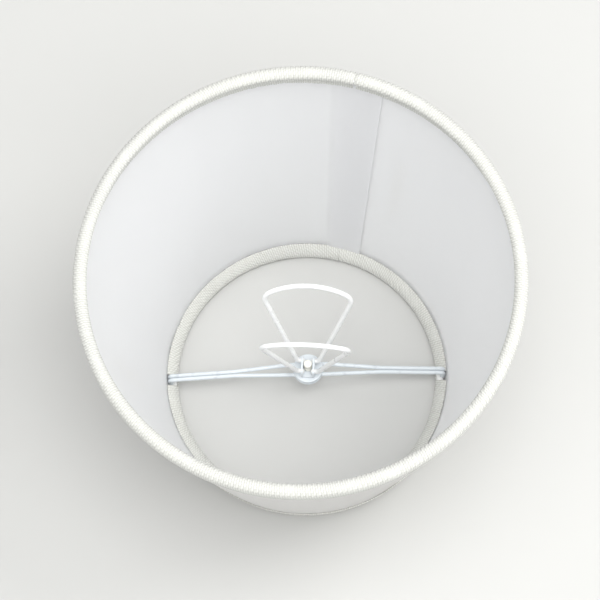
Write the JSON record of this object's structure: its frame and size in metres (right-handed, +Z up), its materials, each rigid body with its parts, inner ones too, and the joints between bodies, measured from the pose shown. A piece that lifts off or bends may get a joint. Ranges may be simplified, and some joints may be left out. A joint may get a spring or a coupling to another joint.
{
  "type": "lamp shade",
  "caption": "Small clip-on lamp shade: a lined linen cone on taped wire rims, with a wire spider and a sprung swivelling clip that grips a candle bulb.",
  "frame": {"origin": "middle of the small rim's flat foot, on the surface the shade stands on", "axes": "+Z up the shade's axis from the small rim to the large rim, which is downwards in use; +X along the spider wires; +Y towards the back seam's side"},
  "size_m": [0.152, 0.152, 0.122],
  "materials": {
    "linen": "matte plain-weave off-white linen",
    "liner": "satin white styrene sheet, slightly translucent",
    "tape": "matte ribbed tape, warm white",
    "rim_wire": "white powder coat",
    "spider_enamel": "satin cool white enamel on steel",
    "stud_enamel": "satin cream enamel on steel",
    "clip_enamel": "glossy white enamel on spring wire"
  },
  "bodies": {
    "shade": {"linen_cover": "linen", "styrene_liner": "liner", "large_rim_wire": "rim_wire", "small_rim_wire": "rim_wire", "large_rim_tape": "tape", "small_rim_tape": "tape", "front_spider_wire": "spider_enamel", "back_spider_wire": "spider_enamel", "lower_hub_washer": "spider_enamel", "upper_hub_washer": "spider_enamel", "swivel_stud": "stud_enamel"},
    "saddle": {"clip_saddle": "spider_enamel"},
    "back_loop": {"back_clip_loop": "clip_enamel"},
    "front_loop": {"front_clip_loop": "clip_enamel"}
  },
  "joints": [
    {"name": "clip_swivel", "type": "hinge", "parent": "shade", "child": "saddle", "pos_m": [0.0007, 0, 0.0155], "axis": [0, 0, 1], "continuous": true},
    {"name": "back_loop_spring", "type": "hinge", "parent": "saddle", "child": "back_loop", "pos_m": [0.00084, 0.002, 0.01795], "axis": [-0.9976, 0.0698, 0], "range_deg": [-6, 14], "stiffness_Nm_per_rad": 0.5},
    {"name": "front_loop_spring", "type": "hinge", "parent": "saddle", "child": "front_loop", "pos_m": [0.00056, -0.002, 0.01795], "axis": [-0.9976, 0.0698, 0], "range_deg": [-14, 6], "stiffness_Nm_per_rad": 0.5}
  ],
  "couplings": [
    {"joint": "front_loop_spring", "follows": "back_loop_spring", "ratio": -1}
  ]
}
